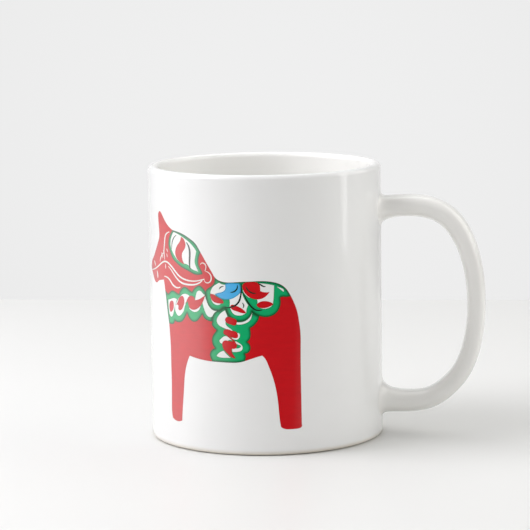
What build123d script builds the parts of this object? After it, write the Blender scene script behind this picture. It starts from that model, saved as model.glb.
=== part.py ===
"""A glazed stoneware mug with a loop handle and a fired-on transfer of a painted folk-art horse.

Millimetres, +Z up. The origin is on the cup's axis, on the surface that the foot stands on, and the
handle points along +X. Clay parts come first, then the glaze that covers them, then the transfer,
whose enamel layers are wrapped round the wall in the order that they are printed.
"""

import os
from math import cos, hypot, pi, radians, sin

from build123d import *

# Driving dimensions of the glazed cup
CUP_RADIUS = 41.0
CUP_HEIGHT = 96.0
WALL = 3.5
FLOOR_TOP = 6.5
INSIDE_CORNER = 6.5
OUTSIDE_CORNER = 1.0

# Foot ring, left bare of glaze
FOOT_OUTER = 38.2
FOOT_INNER = 33.2
BASE_LIFT = 0.3
WELL_LIFT = 1.6
FOOT_ROUNDING = 0.45

# Thin layers
GLAZE = 0.2
SLIP = 0.4
ENAMEL = 0.07

# Handle strap: places on its centre line, out from the axis and up from the table, with the
# glazed strap's thickness and width there
HANDLE_STATIONS = [
    ((37.8, 79.0), 11.0, 15.0),
    ((41.4, 79.6), 9.6, 14.2),
    ((45.5, 80.4), 8.2, 13.2),
    ((51.2, 81.0), 7.6, 12.4),
    ((57.8, 80.2), 7.6, 12.0),
    ((64.2, 77.0), 7.6, 11.8),
    ((69.3, 70.3), 7.3, 11.6),
    ((72.9, 60.0), 6.9, 11.4),
    ((74.3, 46.2), 6.5, 11.4),
    ((72.9, 32.5), 6.5, 11.4),
    ((69.3, 22.8), 6.6, 11.6),
    ((64.1, 16.5), 6.8, 11.8),
    ((57.8, 12.5), 7.0, 12.2),
    ((51.2, 11.5), 7.6, 12.8),
    ((45.5, 12.4), 9.2, 13.6),
    ((41.4, 13.3), 11.0, 14.6),
    ((37.8, 14.0), 12.4, 15.4),
]
# Corner radius of the strap's section, as a share of its thickness
STRAP_ROUNDING = 0.44

# Where the transfer's centre line lies, in degrees round the axis from the handle
TRANSFER_TURN = -114.0

os.makedirs("parts", exist_ok=True)


# ---------------------------------------------------------------------------- the cup's clay


def cup_section(skin, mode=Mode.ADD):
    """Half section of the cup, set in by skin wherever the glaze covers it."""
    outer = CUP_RADIUS - skin
    inner = CUP_RADIUS - WALL + skin
    lip = WALL / 2 - skin
    rim = CUP_HEIGHT - skin - lip
    floor = FLOOR_TOP - skin
    cove = INSIDE_CORNER + skin
    toe = OUTSIDE_CORNER - skin
    base = BASE_LIFT + skin
    well = WELL_LIFT + skin
    with BuildLine() as outline:
        Polyline((0, floor), (0, well), (FOOT_INNER, well), (FOOT_INNER, base), (outer - toe, base))
        CenterArc((outer - toe, base + toe), toe, -90, 90)
        Line((outer, base + toe), (outer, rim))
        CenterArc((outer - lip, rim), lip, 0, 180)
        Line((inner, rim), (inner, floor + cove))
        CenterArc((inner - cove, floor + cove), cove, 0, -90)
        Line((inner - cove, floor), (0, floor))
    make_face(outline.edges(), mode=mode)


def ring_section(inner, outer, low, high, mode=Mode.ADD):
    """A rectangle in the half section, between two radii and two heights."""
    with Locations(((inner + outer) / 2, (low + high) / 2)):
        Rectangle(outer - inner, high - low, mode=mode)


with BuildPart() as cup_body:
    with BuildSketch(Plane.XZ):
        cup_section(GLAZE)
        ring_section(FOOT_INNER, FOOT_OUTER, 0, WELL_LIFT + GLAZE)
    revolve(axis=Axis.Z)
    fillet(cup_body.edges().group_by(Axis.Z)[0], FOOT_ROUNDING)
cup_body.part.label = "cup_body"
export_step(cup_body.part, "parts/cup_body.step")

# ------------------------------------------------------------------------- the handle's clay


def strap_blank(skin):
    """The handle strap with its ends run on into the wall, its surface set in by skin."""
    places = [place for place, thickness, width in HANDLE_STATIONS]
    with BuildPart() as blank:
        for index, (place, thickness, width) in enumerate(HANDLE_STATIONS):
            before = places[max(index - 1, 0)]
            after = places[min(index + 1, len(places) - 1)]
            along = Vector(after[0] - before[0], 0, after[1] - before[1])
            with BuildSketch(Plane(origin=(place[0], 0, place[1]), x_dir=(0, 1, 0), z_dir=along)):
                corner = STRAP_ROUNDING * thickness - skin
                RectangleRounded(width - 2 * skin, thickness - 2 * skin, corner)
        loft()
    return blank.part


def drum(radius, low=0.0, high=CUP_HEIGHT, mode=Mode.ADD):
    """A cylinder on the cup's axis between two heights."""
    with Locations((0, 0, low)):
        Cylinder(radius, high - low, align=(Align.CENTER, Align.CENTER, Align.MIN), mode=mode)


strap_clay = strap_blank(GLAZE)
strap_glazed = strap_blank(0)
SEAT_RADIUS = CUP_RADIUS - GLAZE

with BuildPart() as handle:
    add(strap_clay)
    drum(SEAT_RADIUS + SLIP, mode=Mode.SUBTRACT)
handle.part.label = "handle"
export_step(handle.part, "parts/handle.step")

# Slip that lutes each end of the strap to the wall
with BuildPart() as upper_slip_joint:
    add(strap_clay)
    drum(SEAT_RADIUS + SLIP, low=CUP_HEIGHT / 2, mode=Mode.INTERSECT)
    drum(SEAT_RADIUS, mode=Mode.SUBTRACT)
upper_slip_joint.part.label = "upper_slip_joint"
export_step(upper_slip_joint.part, "parts/upper_slip_joint.step")

with BuildPart() as lower_slip_joint:
    add(strap_clay)
    drum(SEAT_RADIUS + SLIP, high=CUP_HEIGHT / 2, mode=Mode.INTERSECT)
    drum(SEAT_RADIUS, mode=Mode.SUBTRACT)
lower_slip_joint.part.label = "lower_slip_joint"
export_step(lower_slip_joint.part, "parts/lower_slip_joint.step")

# -------------------------------------------------------------------------------- the glazes

CREST = CUP_RADIUS - WALL / 2

with BuildPart() as outer_glaze:
    with BuildSketch(Plane.XZ):
        cup_section(0)
        cup_section(GLAZE, mode=Mode.SUBTRACT)
        ring_section(0, FOOT_OUTER, -1, CUP_HEIGHT / 2, mode=Mode.SUBTRACT)
        ring_section(0, CREST, CUP_HEIGHT / 2, CUP_HEIGHT + 1, mode=Mode.SUBTRACT)
    revolve(axis=Axis.Z)
    add(strap_glazed, mode=Mode.SUBTRACT)
outer_glaze.part.label = "outer_glaze"
export_step(outer_glaze.part, "parts/outer_glaze.step")

with BuildPart() as liner_glaze:
    with BuildSketch(Plane.XZ):
        cup_section(0)
        cup_section(GLAZE, mode=Mode.SUBTRACT)
        ring_section(CREST, CUP_RADIUS + 1, -1, CUP_HEIGHT + 1, mode=Mode.SUBTRACT)
        ring_section(0, CREST, -1, WELL_LIFT + 2 * GLAZE, mode=Mode.SUBTRACT)
    revolve(axis=Axis.Z)
liner_glaze.part.label = "liner_glaze"
export_step(liner_glaze.part, "parts/liner_glaze.step")

with BuildPart() as foot_well_glaze:
    drum(FOOT_INNER, low=WELL_LIFT, high=WELL_LIFT + GLAZE)
foot_well_glaze.part.label = "foot_well_glaze"
export_step(foot_well_glaze.part, "parts/foot_well_glaze.step")

with BuildPart() as handle_glaze:
    add(strap_glazed)
    add(strap_clay, mode=Mode.SUBTRACT)
    drum(SEAT_RADIUS, mode=Mode.SUBTRACT)
handle_glaze.part.label = "handle_glaze"
export_step(handle_glaze.part, "parts/handle_glaze.step")

# ------------------------------------------------------- drawing on the wall for the transfer

# Every place in the transfer is a distance round the wall from its centre line, then a height.
# The shapes are drawn on an upright plane through the axis and pressed out to the wall.

facing = Vector(cos(radians(TRANSFER_TURN)), sin(radians(TRANSFER_TURN)), 0)
TRANSFER = Plane(origin=(0, 0, 0), x_dir=(-facing.Y, facing.X, 0), z_dir=facing)


def flat(place):
    """A place on the wall, moved straight in to the drawing plane."""
    return CUP_RADIUS * sin(place[0] / CUP_RADIUS), place[1]


def patch(*runs, mode=Mode.ADD):
    """A closed shape whose sides are smooth curves through places, or straight between two."""
    with BuildLine() as outline:
        for run in runs:
            places = [flat(place) for place in run]
            if len(places) == 2:
                Line(*places)
            else:
                Spline(*places)
    make_face(outline.edges(), mode=mode)


def blob(*places):
    """A closed shape with one smooth outline."""
    with BuildLine() as outline:
        Spline(*[flat(place) for place in places], periodic=True)
    make_face(outline.edges())


def stroke(width, *places):
    """A brushed line that tapers towards both ends."""
    left, right = [], []
    last = len(places) - 1
    for index, (along, height) in enumerate(places):
        before = places[max(index - 1, 0)]
        after = places[min(index + 1, last)]
        step = hypot(after[0] - before[0], after[1] - before[1])
        swell = width / 2 * (0.45 + 0.55 * sin(pi * index / last))
        across = (before[1] - after[1]) / step * swell
        upward = (after[0] - before[0]) / step * swell
        left.append((along + across, height + upward))
        right.append((along - across, height - upward))
    patch(left, [left[-1], right[-1]], right[::-1], [right[0], left[0]])


def press(layer):
    """Presses the drawing on to the wall as one layer of enamel, counted outwards from the glaze."""
    extrude(amount=2 * CUP_RADIUS)
    drum(CUP_RADIUS + layer * ENAMEL, mode=Mode.INTERSECT)
    drum(CUP_RADIUS + (layer - 1) * ENAMEL, mode=Mode.SUBTRACT)


# ------------------------------------------------------------------- the horse's painted coat

EAR = [(-15, 76.1), (-16.9, 76.9), (-18.6, 78), (-20.5, 79.7), (-22.1, 81.3), (-23.3, 81.9),
       (-24.4, 81.1), (-24.6, 79.7), (-24.3, 76.9), (-24, 74.5), (-24.3, 72.3)]
FACE = [(-24.3, 72.3), (-25.5, 70.4), (-27.4, 68), (-29.5, 65.7), (-32.1, 63.8)]
MUZZLE = [(-32.1, 63.8), (-32.9, 62.1), (-33, 60.7), (-31.4, 59.2), (-30.2, 57.8), (-28.3, 56.6),
          (-26.7, 56.6), (-25.5, 57.3), (-23.3, 57.9), (-21.2, 58.3)]
CHEST = [(-21.2, 58.3), (-20.4, 55), (-20, 53), (-19.4, 49.7), (-18.8, 46.4), (-18.2, 43.5),
         (-17.8, 40.2), (-17.5, 36.4), (-17.4, 30), (-17.3, 22.1), (-17.5, 15), (-17.4, 12.1), (-17, 10.4)]
FRONT_HOOF = [(-17, 10.4), (-14.5, 9.6), (-11.9, 10.1)]
FRONT_LEG = [(-11.9, 10.1), (-11.4, 15), (-10.7, 21.1), (-9.8, 27.8), (-8.6, 31.4), (-7.6, 33.4)]
BELLY = [(-7.6, 33.4), (-4.5, 32.8), (0.2, 32.3), (5.5, 32.2), (9.3, 32.2), (11.7, 32.4), (14.5, 33.2),
         (17.4, 34.2), (19.5, 34.8)]
HIND_LEG = [(19.5, 34.8), (20.4, 33.9), (21.6, 31.4), (22.9, 27.8), (23.9, 24), (24.6, 19.7), (25, 15),
            (25.6, 10.1)]
HIND_HOOF = [(25.6, 10.1), (26.4, 9.5), (30, 9.1), (32.6, 9.5), (32.9, 10.7)]
RUMP = [(32.9, 10.7), (32.8, 22.1), (32.8, 36.4), (32.8, 42.1), (32.4, 45.9), (31.7, 49.7), (30.7, 52.6),
        (29.2, 55.7), (28.1, 57.4), (26, 59.1), (23.1, 60), (19.8, 60.3), (15, 60.1), (12.6, 60),
        (10.2, 59.8), (7.4, 59.7), (5.5, 60), (3.8, 60.8), (2.6, 62.3)]
CREST_OF_NECK = [(2.6, 62.3), (1, 64.7), (-0.9, 67.6), (-2.6, 70.2), (-4.5, 72.6), (-6.9, 74),
                 (-9.8, 75.2), (-12.6, 75.8), (-15, 76.1)]


def coat(mode=Mode.ADD):
    """The whole silhouette, which every ornament is kept inside."""
    patch(EAR, FACE, MUZZLE, CHEST, FRONT_HOOF, FRONT_LEG, BELLY, HIND_LEG, HIND_HOOF, RUMP,
          CREST_OF_NECK, mode=mode)


with BuildPart() as horse_coat:
    with BuildSketch(TRANSFER):
        coat()
    press(1)
horse_coat.part.label = "horse_coat"
export_step(horse_coat.part, "parts/horse_coat.step")

# --------------------------------------------------------------------------------- the mane

with BuildPart() as mane_green:
    with BuildSketch(TRANSFER):
        patch(
            [(-1.4, 62.1), (-2.2, 63.8), (-2.9, 65), (-3, 67), (-2.2, 69.4), (-1, 71.4)],
            [(-1, 71.4), (-5, 77), (-16, 79), (-15.2, 76)],
            [(-15.2, 76), (-16.5, 74.5), (-17.5, 72.5), (-17.6, 70.5), (-16.5, 68), (-15, 66),
             (-13, 64.8), (-11, 63.8), (-8.5, 63), (-6.7, 62.4), (-5, 61.8), (-3.2, 61.7), (-1.4, 62.1)],
        )
        coat(mode=Mode.INTERSECT)
    press(2)
mane_green.part.label = "mane_green"
export_step(mane_green.part, "parts/mane_green.step")

with BuildPart() as mane_white:
    with BuildSketch(TRANSFER):
        patch(
            [(-14.6, 75.5), (-12.5, 75.1), (-10, 74.2), (-7.3, 72.9), (-4.9, 71), (-3.9, 69.8)],
            [(-3.9, 69.8), (-4.3, 68), (-4.6, 66), (-4, 64.3), (-3.1, 62.8)],
            [(-3.1, 62.8), (-4.6, 63.1), (-6.2, 63.7), (-7.4, 64.7), (-9.5, 65.1), (-12.5, 66),
             (-14.3, 67.5), (-15.8, 69.3), (-16.4, 71), (-16.2, 72.8), (-14.6, 75.5)],
        )
    press(3)
mane_white.part.label = "mane_white"
export_step(mane_white.part, "parts/mane_white.step")

with BuildPart() as mane_red:
    with BuildSketch(TRANSFER):
        patch(
            [(-10.8, 74.2), (-9.3, 73.4), (-8.6, 71.8), (-9.2, 70), (-10.2, 68.7), (-10.4, 67.2),
             (-9.9, 65.8), (-9.2, 64.8)],
            [(-9.2, 64.8), (-11.5, 65.5), (-13, 66.5), (-13.8, 68), (-13.6, 69.6), (-12.6, 71.2),
             (-11.3, 72.6), (-10.8, 74.2)],
        )
    press(4)
mane_red.part.label = "mane_red"
export_step(mane_red.part, "parts/mane_red.step")

with BuildPart() as mane_curls:
    with BuildSketch(TRANSFER):
        stroke(0.35, (-2.3, 65.3), (-1.2, 65.9), (-0.2, 65.3), (-0.1, 64.2), (-0.5, 63.2))
        stroke(0.4, (-0.2, 63.1), (1, 62.7), (1.8, 61.8), (1.9, 60.5), (1.3, 59.5), (0.2, 59.2),
               (-0.8, 60))
    press(2)
mane_curls.part.label = "mane_curls"
export_step(mane_curls.part, "parts/mane_curls.step")

# ------------------------------------------------------------------------------- the bridle

with BuildPart() as rein:
    with BuildSketch(TRANSFER):
        stroke(0.6, (-32.3, 60.4), (-30.2, 60.8), (-27.5, 61.6), (-25, 62.7), (-22.5, 64), (-20.5, 64.7),
               (-18.8, 64.7), (-17, 64), (-15.4, 63), (-13.8, 61.8), (-12, 60.6), (-10, 59.8),
               (-7.5, 59.4), (-5, 59.4), (-2.5, 59.9), (-0.7, 60.4))
        stroke(0.6, (-18, 63.3), (-16, 62), (-14.1, 60.3), (-12.3, 59), (-10.2, 58.2), (-7.5, 58),
               (-5, 58.2), (-3, 58.9), (-1.6, 59.9))
    press(2)
rein.part.label = "rein"
export_step(rein.part, "parts/rein.step")

with BuildPart() as headstall:
    with BuildSketch(TRANSFER):
        stroke(0.6, (-17, 75.3), (-18.4, 74.8), (-19.4, 74), (-20, 72.4), (-20.4, 70.3), (-20.7, 68.3),
               (-20.5, 66.6), (-20.3, 65.4))
        stroke(0.7, (-29.3, 63.9), (-28.6, 63.1), (-28, 62.3))
        stroke(0.8, (-26.6, 60.7), (-26.2, 59.6), (-26.1, 58.3))
        stroke(0.45, (-21.5, 67.6), (-22.4, 66.7), (-23.3, 65.6), (-23.9, 64.3))
        stroke(0.4, (-21.3, 68.6), (-20.9, 68), (-21.2, 67.2))
        stroke(0.4, (-22.6, 67.6), (-22, 66.8), (-21.6, 65.8))
        stroke(0.35, (-18.9, 69.3), (-18.5, 68.7), (-18.2, 68.2))
        stroke(0.35, (-19, 67.6), (-18.7, 67), (-18.5, 66.4))
        stroke(0.45, (-19.9, 63.9), (-19.8, 63.1), (-19.7, 62.3))
    press(2)
headstall.part.label = "headstall"
export_step(headstall.part, "parts/headstall.step")

with BuildPart() as throat_strap:
    with BuildSketch(TRANSFER):
        stroke(0.6, (-20.9, 59.5), (-19, 59.4), (-17.3, 58.7), (-15.7, 57.3), (-14.3, 56.6),
               (-12.9, 56.4), (-11.5, 56.8))
    press(2)
throat_strap.part.label = "throat_strap"
export_step(throat_strap.part, "parts/throat_strap.step")

# -------------------------------------------------------------- green grounds of the harness

# The sides where collar, saddle and girth meet
SHOULDER = [(-0.4, 56.1), (-0.2, 54.4), (0.3, 52.4), (1.3, 50.8), (2.6, 50.1), (4.2, 49.9)]
HAUNCH = [(4.2, 49.9), (3.1, 49.2), (2.5, 48.2), (2.1, 47.2), (2.1, 46)]
HEM = [(4.2, 49.9), (5.4, 50.2), (6.4, 50.9), (7.4, 50.3)]
SCALLOP = [(7.4, 50.3), (8, 48.7), (9.6, 47.2), (11.7, 46.5), (13.6, 46.8), (15, 47.6), (16, 48.8),
           (16.4, 50)]
NOTCH = [(16.4, 50), (17.4, 49.1), (18.8, 48.4)]

with BuildPart() as collar_green:
    with BuildSketch(TRANSFER):
        patch(
            [(-21.4, 54.9), (-19.6, 54.3), (-18.4, 53.8), (-17.9, 54)],
            [(-17.9, 54), (-17, 54.7), (-15.3, 55.2), (-13.6, 54.7), (-12.2, 54.4)],
            [(-12.2, 54.4), (-11.6, 55.6), (-10.3, 56.8), (-9.1, 57.1), (-7.5, 56.4), (-6, 55.7)],
            [(-6, 55.7), (-5.2, 56.8), (-4.2, 57.6), (-3, 58.1), (-1.7, 57.6), (-0.4, 56.1)],
            SHOULDER,
            HAUNCH,
            [(2.1, 46), (0.4, 46.2), (-1, 46.9), (-1.8, 48.2)],
            [(-1.8, 48.2), (-3, 46.7), (-4.5, 45.5), (-6, 45.4), (-7.4, 46.3), (-8.4, 48.1)],
            [(-8.4, 48.1), (-9.3, 46.7), (-11, 44.9), (-13, 44.4), (-14.8, 44.7)],
            [(-14.8, 44.7), (-15.5, 43.6), (-16.6, 43.3), (-19.6, 43.9)],
            [(-19.6, 43.9), (-21.4, 54.9)],
        )
        coat(mode=Mode.INTERSECT)
    press(2)
collar_green.part.label = "collar_green"
export_step(collar_green.part, "parts/collar_green.step")

with BuildPart() as saddle_green:
    with BuildSketch(TRANSFER):
        patch(
            [(-0.4, 56.1), (0.8, 57.5), (2.1, 58.3), (3, 59.4), (3.2, 60.6), (3.4, 62.6)],
            [(3.4, 62.6), (16, 63), (30, 62), (31.2, 57), (30.4, 55)],
            [(30.4, 55), (28.9, 54.8), (28, 54.7), (27, 54.8), (26, 54.5)],
            [(26, 54.5), (26.1, 52.4), (25.5, 50.6), (24.4, 49.2), (22.5, 48.2), (20.7, 48),
             (18.8, 48.4)],
            NOTCH,
            SCALLOP,
            HEM,
            SHOULDER,
        )
        coat(mode=Mode.INTERSECT)
    press(2)
saddle_green.part.label = "saddle_green"
export_step(saddle_green.part, "parts/saddle_green.step")

with BuildPart() as girth_green:
    with BuildSketch(TRANSFER):
        patch(
            HEM,
            SCALLOP,
            NOTCH,
            [(18.8, 48.4), (18.4, 47), (17.3, 45.5), (15.6, 44.2)],
            [(15.6, 44.2), (15.8, 42.8), (15.7, 41.2), (14.6, 39.5)],
            [(14.6, 39.5), (15.4, 38.6), (15.7, 37.5), (15.3, 36.3), (13.7, 35.4)],
            [(13.7, 35.4), (14, 34.4), (13.8, 33.4), (12.6, 31.5)],
            [(12.6, 31.5), (2.4, 31)],
            [(2.4, 31), (1.3, 33.2), (0.9, 34.6), (1.5, 36), (2.9, 36.9)],
            [(2.9, 36.9), (2, 38.3), (1.8, 39.6), (2.1, 41), (2.9, 42.2), (3.6, 43.1)],
            [(3.6, 43.1), (2.5, 44), (1.9, 45), (2.1, 46)],
            HAUNCH,
        )
        coat(mode=Mode.INTERSECT)
    press(2)
girth_green.part.label = "girth_green"
export_step(girth_green.part, "parts/girth_green.step")

# ------------------------------------------------------------------------ collar's ornament

with BuildPart() as collar_white:
    with BuildSketch(TRANSFER):
        patch(
            [(-18.4, 51.7), (-16.8, 52.1), (-15, 52.6), (-13.4, 52.3)],
            [(-13.4, 52.3), (-14.3, 50.4), (-15, 48.6), (-15.6, 47)],
            [(-15.6, 47), (-16.7, 45.9), (-17.9, 46.9)],
            [(-17.9, 46.9), (-18.3, 49.4), (-18.4, 51.7)],
        )
        patch(
            [(-14.2, 50.4), (-14.5, 49), (-13.9, 47.5), (-12.7, 46.7), (-11.3, 47.3), (-9.9, 48.9)],
            [(-9.9, 48.9), (-9.2, 50.9), (-8.4, 52.3), (-7.2, 54.1)],
            [(-7.2, 54.1), (-8.9, 54.7), (-10.6, 54.3)],
            [(-10.6, 54.3), (-12.6, 52.6), (-14.2, 50.4)],
        )
        patch(
            [(-7.5, 49.9), (-6.1, 49), (-4.8, 48.8), (-3.4, 49.4), (-2.5, 51)],
            [(-2.5, 51), (-4.6, 51.2), (-7.5, 49.9)],
        )
        patch(
            [(-4.8, 52.9), (-4.3, 54.8), (-3.4, 56.2), (-2.5, 56.3), (-1.5, 55.5), (-0.7, 55)],
            [(-0.7, 55), (-2.4, 53.2), (-4.8, 52.9)],
        )
        patch(
            [(-0.5, 54.5), (-1.6, 52.2), (-1.2, 50.6), (-0.5, 48.9), (0.5, 47.7), (1.5, 47.5),
             (2.4, 48.3)],
            [(2.4, 48.3), (3.1, 49.2), (3.9, 49.8)],
            [(3.9, 49.8), (2.1, 50.1), (0.9, 51.2), (0.1, 52.7), (-0.5, 54.5)],
        )
    press(3)
collar_white.part.label = "collar_white"
export_step(collar_white.part, "parts/collar_white.step")

with BuildPart() as collar_red:
    with BuildSketch(TRANSFER):
        blob((-16.9, 47.6), (-15.6, 48.6), (-15.2, 50.1), (-15.7, 51.5), (-17.1, 51.3), (-17.8, 49.8),
             (-17.7, 48.5))
        patch(
            [(-14.2, 50.3), (-13, 51.6), (-12, 53.2), (-10.5, 53.8), (-9.8, 53)],
            [(-9.8, 53), (-9.7, 51.5), (-10.2, 50.2), (-11.2, 49), (-12.1, 48.7), (-12.8, 49.3)],
            [(-12.8, 49.3), (-12.8, 50.4), (-14.2, 50.3)],
        )
        patch(
            [(-9.4, 51.1), (-8.2, 53), (-7.3, 54), (-6, 54.2), (-5.2, 53.8), (-4.8, 52.9)],
            [(-4.8, 52.9), (-3.4, 53.2), (-1.7, 54.1), (-0.5, 54.9)],
            [(-0.5, 54.9), (-1, 53.6), (-1.9, 51.9), (-3.6, 50.2), (-5.6, 49.5), (-7, 49.9), (-7.8, 51.2),
             (-8, 52.3)],
            [(-8, 52.3), (-9.4, 51.1)],
        )
    press(4)
collar_red.part.label = "collar_red"
export_step(collar_red.part, "parts/collar_red.step")

# ------------------------------------------------------------------------ saddle's ornament

with BuildPart() as saddle_white:
    with BuildSketch(TRANSFER):
        patch(
            [(1.5, 55.7), (1.9, 57), (2.8, 58.2), (4, 59), (4.9, 59.5)],
            [(4.9, 59.5), (6, 59), (7.2, 58.9)],
            [(7.2, 58.9), (7.6, 56.8), (5.6, 55.6)],
            [(5.6, 55.6), (3.4, 55.2), (1.5, 55.7)],
        )
        patch(
            [(1.8, 53.8), (2.3, 52.7), (3.2, 52), (4.3, 51.8), (5.4, 52.3)],
            [(5.4, 52.3), (3.4, 53.4), (1.8, 53.8)],
        )
        patch(
            [(8.5, 54.4), (10.4, 55), (12.6, 56.4), (13.1, 56.1)],
            [(13.1, 56.1), (13.6, 54.6), (14.3, 53.3), (15.1, 52.1)],
            [(15.1, 52.1), (14.6, 50.9), (14.4, 49.6)],
            [(14.4, 49.6), (13.5, 48.9), (11.8, 48.5), (10, 49), (9.1, 50.2), (8.6, 51.6)],
            [(8.6, 51.6), (8.7, 53), (8.5, 54.4)],
        )
        patch(
            [(19, 59.6), (21.5, 59.3), (24, 58.8)],
            [(24, 58.8), (23.9, 57), (23.8, 54.9), (23.6, 53)],
            [(23.6, 53), (22.7, 51.5), (21.1, 50.9), (19.4, 51.1), (18.1, 52.2)],
            [(18.1, 52.2), (18.3, 53.4), (18, 54.4)],
            [(18, 54.4), (18.6, 57), (19, 59.6)],
        )
        patch(
            [(13.3, 57.2), (13.7, 56.3), (14.7, 55.2), (15.6, 54.6)],
            [(15.6, 54.6), (15.2, 55.8), (13.3, 57.2)],
        )
        patch(
            [(24.9, 58.4), (26.2, 57.3), (27.2, 56.5)],
            [(27.2, 56.5), (27.2, 57.3), (26.3, 57.9), (24.9, 58.4)],
        )
    press(3)
saddle_white.part.label = "saddle_white"
export_step(saddle_white.part, "parts/saddle_white.step")

with BuildPart() as saddle_blue:
    with BuildSketch(TRANSFER):
        patch(
            [(7.1, 59.2), (8.4, 59.5), (10, 59.6), (12.2, 59.5)],
            [(12.2, 59.5), (12.6, 58.2), (12.5, 56.3)],
            [(12.5, 56.3), (11, 55), (9.2, 54.1), (7.4, 53.8), (5.9, 54), (4.4, 54.7), (3.2, 55.5)],
            [(3.2, 55.5), (4.6, 56), (6.2, 56.5), (7.1, 57.3), (7.2, 58.3), (7.1, 59.2)],
        )
    press(4)
saddle_blue.part.label = "saddle_blue"
export_step(saddle_blue.part, "parts/saddle_blue.step")

with BuildPart() as saddle_red:
    with BuildSketch(TRANSFER):
        patch(
            [(1.5, 55.5), (2.3, 55.5), (3.1, 55.3)],
            [(3.1, 55.3), (4.3, 54.5), (5.8, 53.8), (6.4, 53.1), (6.3, 52.5)],
            [(6.3, 52.5), (5, 52.4), (3.4, 52.6), (2.2, 53.3), (1.6, 54.4), (1.5, 55.5)],
        )
        patch(
            [(8.8, 51.2), (9.3, 52.1), (11.3, 51.7), (13.2, 50.7), (14.4, 49.5)],
            [(14.4, 49.5), (13.4, 49.3), (11.5, 49.8), (10.1, 50.2), (8.8, 51.2)],
        )
        patch(
            [(13.2, 58.8), (14, 59.7), (15.5, 60), (17.5, 60), (19, 59.3), (19.3, 58.3), (19.3, 57)],
            [(19.3, 57), (20.8, 56.5), (22.5, 56.6)],
            [(22.5, 56.6), (21.5, 55.4), (20.2, 54.5), (18.4, 54.1), (16.5, 54.4), (14.8, 55.4),
             (13.6, 56.9), (13.2, 58.8)],
        )
        patch(
            [(18, 52.2), (18.9, 53.1), (20.5, 53.5), (22.2, 53.3), (23.7, 52.4)],
            [(23.7, 52.4), (22.2, 51.5), (20.3, 51.1), (18.9, 51.3), (18, 52.2)],
        )
        coat(mode=Mode.INTERSECT)
    press(4)
saddle_red.part.label = "saddle_red"
export_step(saddle_red.part, "parts/saddle_red.step")

# ------------------------------------------------------------------------- girth's ornament

with BuildPart() as girth_white:
    with BuildSketch(TRANSFER):
        patch(
            [(6.9, 50.1), (5.6, 49.3), (4.4, 48), (3.8, 46.5), (4.3, 45.2), (6, 44.2), (8, 43.5),
             (9.5, 43.2)],
            [(9.5, 43.2), (8.6, 44), (7.5, 44.8), (7, 46)],
            [(7, 46), (7.5, 47), (7.7, 48.1), (7.3, 49.2), (6.9, 50.1)],
        )
        patch(
            [(10.9, 45.5), (12.2, 45.4), (13.8, 45.8), (15.5, 46.8), (16.2, 48.2), (16.4, 49.6)],
            [(16.4, 49.6), (15.9, 48.4), (14.8, 47.2), (13.3, 46.4), (11.8, 46.2), (10.9, 46.2)],
            [(10.9, 46.2), (10.9, 45.5)],
        )
        blob((11.3, 42.5), (12, 42.1), (12, 41.2), (11.4, 40.4), (10.2, 40.2), (9.2, 40.7), (10.4, 41.4))
        patch(
            [(4.7, 39.7), (5.6, 40.6), (6.9, 41.3), (8.3, 40.7), (9.5, 39.8)],
            [(9.5, 39.8), (7.4, 39.5), (6, 38.7), (5.3, 38.7), (4.7, 39.7)],
        )
        patch(
            [(10.5, 39.7), (11.8, 39), (12.9, 37.9), (12.7, 36.7), (11.5, 36.1), (9.3, 35.9)],
            [(9.3, 35.9), (9.2, 37)],
            [(9.2, 37), (10.6, 37.2), (12, 37.5), (12.4, 38), (11.4, 38.5), (10.5, 39.7)],
        )
        patch(
            [(3.5, 34.3), (4.5, 35.4), (6.2, 36.2)],
            [(6.2, 36.2), (7.4, 34.9), (8.8, 33.8)],
            [(8.8, 33.8), (7, 33.8), (5, 33.8), (3.5, 34.3)],
        )
    press(3)
girth_white.part.label = "girth_white"
export_step(girth_white.part, "parts/girth_white.step")

with BuildPart() as girth_red:
    with BuildSketch(TRANSFER):
        blob((7, 47.3), (7.7, 47.9), (9.5, 47.6), (10.9, 46.9), (11, 45.8), (10.4, 45.1), (9.2, 45.3),
             (7.8, 45.7), (7, 46.4))
        blob((6.2, 42.6), (6.7, 43.5), (7.7, 43.7), (9.4, 43.2), (10.7, 42.9), (11.4, 41.9), (11.2, 40.9),
             (10.2, 40.7), (8.8, 41), (7.3, 41.5))
        stroke(0.45, (7.8, 41.2), (8.8, 40.6), (9.8, 39.8), (10.6, 39))
        patch(
            [(5.8, 39), (6.9, 39.8), (8.4, 39.6), (9.9, 39.5), (11, 38.5)],
            [(11, 38.5), (10.7, 37.4), (9.2, 37)],
            [(9.2, 37), (9.1, 36), (9.6, 35), (10.4, 33.8)],
            [(10.4, 33.8), (9.2, 34), (7.7, 35.2), (6.4, 36.5), (5.8, 37.8), (5.8, 39)],
        )
    press(4)
girth_red.part.label = "girth_red"
export_step(girth_red.part, "parts/girth_red.step")

# --------------------------------------------------------------------- dark contour strokes

with BuildPart() as mane_dark_lines:
    with BuildSketch(TRANSFER):
        stroke(0.45, (-13.1, 74.6), (-14.2, 73.8), (-15, 72.8), (-15.6, 71.2), (-15.8, 69.4))
        stroke(0.8, (-8.2, 72.5), (-7.1, 71), (-6.7, 69), (-6.8, 67), (-6.9, 65), (-6.6, 63.3))
    press(4)
mane_dark_lines.part.label = "mane_dark_lines"
export_step(mane_dark_lines.part, "parts/mane_dark_lines.step")

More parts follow.
